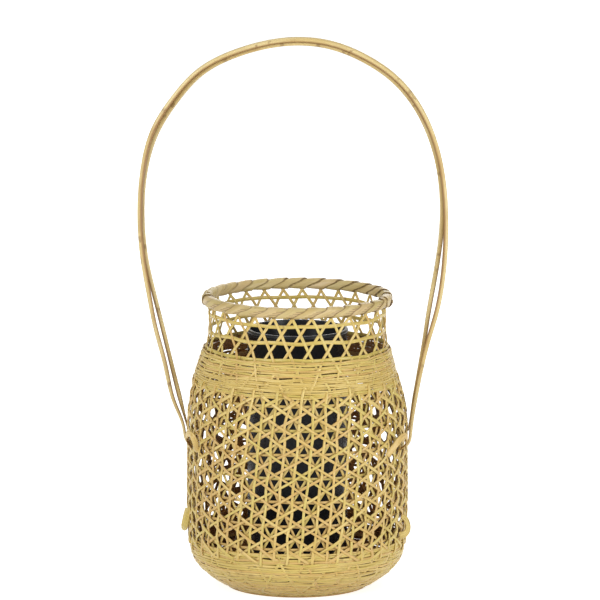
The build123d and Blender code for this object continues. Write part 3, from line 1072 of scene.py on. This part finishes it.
# handle: two strands that part and close along the arch
handlePlan = {
    "reach": 110.0 * mm,
    "footHeight": 100.0 * mm,
    "topHeight": 384.5 * mm,
    "turnHeight": 250.0 * mm,
    "width": 4.0 * mm,
    "thickness": 3.1 * mm,
    "spacing": 4.4 * mm,
    "close": 0.90,                   # how near the strands come
    "tipWidth": 2.4 * mm,
    "tipThickness": 1.2 * mm,
    "tipLowHeight": 48.0 * mm,
    "insideRadius": 71.85 * mm,
    "outsideRadius": 77.8 * mm,
    "entryHeight": 97.6 * mm,
    "tongueDrops": (25 * mm, 9 * mm),  # under the entry, inside the wall
    "tongueRises": (3.1 * mm, 11.4 * mm),  # over the entry, outside the wall
    "tongueOut": 2.1 * mm,
    "innerRise": 12 * mm,            # over the entry, where the inner strand ends
    "points": 420,
    "drift": (0.25 * mm, 6),         # size, waves
    "twistWaves": 2.3,
    "twistStart": 6,
    "outerStrand": (0.16, 16.0, 0.55),  # share of the length thinned, degrees of twist, tone
    "innerStrand": (0.04, 14.0, 0.42),
    "archShares": [                  # share of the reach, share of the rise, how far the strands part
        (-0.771, 0.100, 1.45), (-0.829, 0.193, 1.40), (-0.888, 0.285, 1.55), (-0.941, 0.378, 1.0),
        (-0.976, 0.448, 0.65), (-0.999, 0.560, 0.50), (-0.975, 0.686, 0.60), (-0.905, 0.778, 1.05),
        (-0.788, 0.851, 1.12), (-0.612, 0.925, 1.12), (-0.375, 0.972, 1.12), (-0.090, 0.999, 1.12),
        (0.198, 0.994, 1.12), (0.430, 0.960, 1.12), (0.622, 0.909, 1.12), (0.777, 0.833, 1.10),
        (0.900, 0.703, 0.95), (0.933, 0.560, 1.10), (0.904, 0.425, 2.00), (0.862, 0.332, 2.00),
        (0.824, 0.264, 1.05), (0.788, 0.193, 0.45), (0.750, 0.110, 0.25),
    ],
}


def archPoints(side):
    plan = handlePlan
    points = []
    for across, up, part in plan["archShares"]:
        x = across * plan["reach"]
        z = plan["footHeight"] + up * (plan["topHeight"] - plan["footHeight"])
        rise = max(0.0, z - plan["turnHeight"])
        far = math.hypot(x, rise)
        shift = side * part * plan["thickness"] / 2 * plan["close"]
        points.append((x + x / far * shift, z + rise / far * shift))
    return points


def addStrand(parts, points, y, thinShare, twist, tone, flip):
    plan = handlePlan
    count = plan["points"]
    line = smoothLine(points, count)
    along = np.gradient(line, axis=0)
    along /= np.linalg.norm(along, axis=1)[:, None]
    share = np.linspace(0, 1, count)
    full = blendOver(np.minimum(share, 1 - share), 0, thinShare)
    width = plan["tipWidth"] + (plan["width"] - plan["tipWidth"]) * full
    thick = plan["tipThickness"] + (plan["thickness"] - plan["tipThickness"]) * full
    places = np.stack([line[:, 0], np.full(count, y), line[:, 1]], axis=1)
    places[:, 1] += wander(count, *plan["drift"]) * full
    waves = np.sin(2 * math.pi * share * plan["twistWaves"] + tone * plan["twistStart"])
    turn = np.radians(twist) * waves * full
    outs = np.stack([-along[:, 1] * np.cos(turn), np.sin(turn), along[:, 0] * np.cos(turn)], axis=1)
    # flip puts the painted shade on the side that faces the other strand
    addStrip(parts, places, outs, width, thick, tone, section=strandSection, flip=flip)


def handle():
    plan = handlePlan
    inside = plan["insideRadius"]
    outside = plan["outsideRadius"]
    entry = plan["entryHeight"]
    deep, near = plan["tongueDrops"]
    low, high = plan["tongueRises"]
    tongue = [
        (inside, plan["tipLowHeight"]), (inside, entry - deep), (inside, entry - near),
        ((inside + outside) / 2, entry), (outside, entry + low), (outside + plan["tongueOut"], entry + high),
    ]
    parts = newParts()
    left = [(-x, z) for x, z in tongue]
    addStrand(parts, left + archPoints(1) + tongue[::-1], 0.0, *plan["outerStrand"], 1)
    makePiece("outerStrand", parts, handleBamboo, ["handle_outer_strand"])
    parts = newParts()
    tip = (outside, entry + plan["innerRise"])
    points = [(-tip[0], tip[1])] + archPoints(-1) + [tip]
    addStrand(parts, points, plan["spacing"], *plan["innerStrand"], -1)
    makePiece("innerStrand", parts, handleBamboo, ["handle_inner_strand"])


# strip loops that stand proud of the wall: for each spot degrees from the arch's end, height in mm,
# stand off the wall in mm, and how far the skin turns from outwards (0) to the front (1)
lugPlan = {
    "upperWidth": 4.2 * mm,
    "lowerWidth": 5.0 * mm,
    "thickness": 0.75 * mm,
    "points": 70,
    "baseStand": 1.9,                # mm that every spot lies off the wall by itself
    "upperLeft": [
        (29.5, 100.0, -0.4, 0.60), (31, 104.0, 1.4, 0.80), (32, 108.0, 3.0, 0.88), (31.5, 111.5, 4.2, 0.80),
        (28, 113.0, 4.6, 0.40), (23, 111.0, 4.2, -0.10), (19.5, 106.5, 2.6, -0.35), (18, 102.0, -0.4, -0.35),
    ],
    "upperRight": [
        (31.5, 100.0, -0.4, 0.60), (29.5, 103.5, 1.4, 0.75), (27, 107.5, 3.0, 0.80),
        (23.5, 111.0, 4.2, 0.60), (20, 112.0, 4.8, 0.20), (17.0, 109.5, 4.8, -0.15),
        (16, 105.0, 3.4, -0.40), (16.5, 101.0, -0.4, -0.40),
    ],
    "lowerLeft": [
        (13.5, 56.0, -0.4, 0.85), (14, 52.0, 1.0, 0.95), (14, 47.5, 2.2, 0.95), (13, 43.5, 3.0, 0.95),
        (9.5, 42.0, 3.0, 0.85), (6, 44.5, 1.8, 0.6), (5, 49.0, -0.4, 0.4),
    ],
    "lowerRight": [
        (13, 53.0, -0.4, 0.15), (12.5, 50.5, 2.0, 0.25), (12.5, 46.5, 3.8, 0.35), (13.5, 43.0, 4.0, 0.45),
        (15.5, 40.8, 2.6, 0.5), (17, 40.0, -0.4, 0.4),
    ],
}


def lugs():
    plan = lugPlan
    for name, side, middle in (("left", 1, 180), ("right", -1, 0)):
        for level in ("upper", "lower"):
            spots = []
            for away, height, stand, turn in plan[level + name.capitalize()]:
                lift = (plan["baseStand"] + stand) * mm
                run = np.array([runAtHeight(height * mm)])
                place = onWall(run, np.array([middle + side * away]), lift)[0]
                spots.append([*place[0], turn * cm])
            line = smoothLine(spots, plan["points"])
            places = line[:, :3]
            radial = places * np.array([1, 1, 0])
            radial /= np.linalg.norm(radial, axis=1)[:, None]
            front = line[:, 3:] / cm
            outs = radial * (1 - front) + np.array([0, -1, 0]) * front
            parts = newParts()
            addStrip(parts, places, outs, plan[level + "Width"], plan["thickness"], chance.uniform())
            title = f"{level}{name.capitalize()}Lug"
            makePiece(title, parts, weaveBamboo, [f"{level}_{name}_lug"])


# water tube, turned about the axis
tubePlan = {
    "sides": 192,
    "wall": 2.0 * mm,
    "floor": 3.0 * mm,
    "lipDepth": 3.2 * mm,
    "lipStand": 0.8 * mm,
    "lipSoft": 0.45 * mm,
    "lipCorner": 0.1 * mm,
    "footRound": [(2.0 * mm, 0), (0.6 * mm, 0.15 * mm), (0, 0.9 * mm)],  # in from the side, up
    "lipRound": [(0, 1.1 * mm), (0.3 * mm, 0.4 * mm), (0.9 * mm, 0)],  # in from the lip, down
    "mouthRound": [(0.7 * mm, 0), (0.15 * mm, 0.2 * mm), (0, 0.8 * mm)],  # out from the bore, down
    "floorRound": [(0, 1.2 * mm), (0.4 * mm, 0.3 * mm), (1.3 * mm, 0)],  # in from the bore, up
}


def waterTube():
    plan = tubePlan
    low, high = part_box("water_tube")
    lip = high.x
    outer = lip - plan["lipStand"]
    inner = outer - plan["wall"]
    top = high.z
    base = low.z
    floor = base + plan["floor"]
    under = top - plan["lipDepth"]
    soft = plan["lipSoft"]
    corner = plan["lipCorner"]
    outline = [(outer - across, base + up) for across, up in plan["footRound"]]
    outline += [(outer, under - soft), (outer + corner, under - corner)]
    outline += [(lip - soft, under), (lip, under + soft)]
    outline += [(lip - across, top - down) for across, down in plan["lipRound"]]
    outline += [(inner + across, top - down) for across, down in plan["mouthRound"]]
    outline += [(inner - across, floor + up) for across, up in plan["floorRound"]]
    sides = plan["sides"]
    turns = np.linspace(0, 2 * math.pi, sides, endpoint=False)
    spots = []
    for reach, height in outline:
        spots += [(reach * math.cos(turn), reach * math.sin(turn), height) for turn in turns]
    faces = []
    for level in range(len(outline) - 1):
        this = level * sides
        above = this + sides
        for side in range(sides):
            after = (side + 1) % sides
            faces.append((this + side, this + after, above + after, above + side))
    faces.append(tuple(range(sides))[::-1])
    last = (len(outline) - 1) * sides
    faces.append(tuple(range(last, last + sides)))
    mesh = bpy.data.meshes.new("waterTube")
    mesh.from_pydata(spots, [], faces)
    handIn("waterTube", mesh, tubeBlack, ["water_tube"], "tube")


# rigid nodes that stay: rim hoops, hidden hoops, foot ring and floor strips, all but the rim's in darker
# bamboo that is painted shade
def keptNodes():
    for name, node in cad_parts.items():
        if node.hide_render:
            continue
        material = rimCoreBamboo if name.startswith("rim") else shadedInnerBamboo
        node.data.materials.clear()
        node.data.materials.append(material)
        print("kept", name)


makeCamera()
makeStage()
print("camera and stage made")
diagonals()
hoops()
inserts()
courses()
rimWrap()
handle()
lugs()
waterTube()
keptNodes()
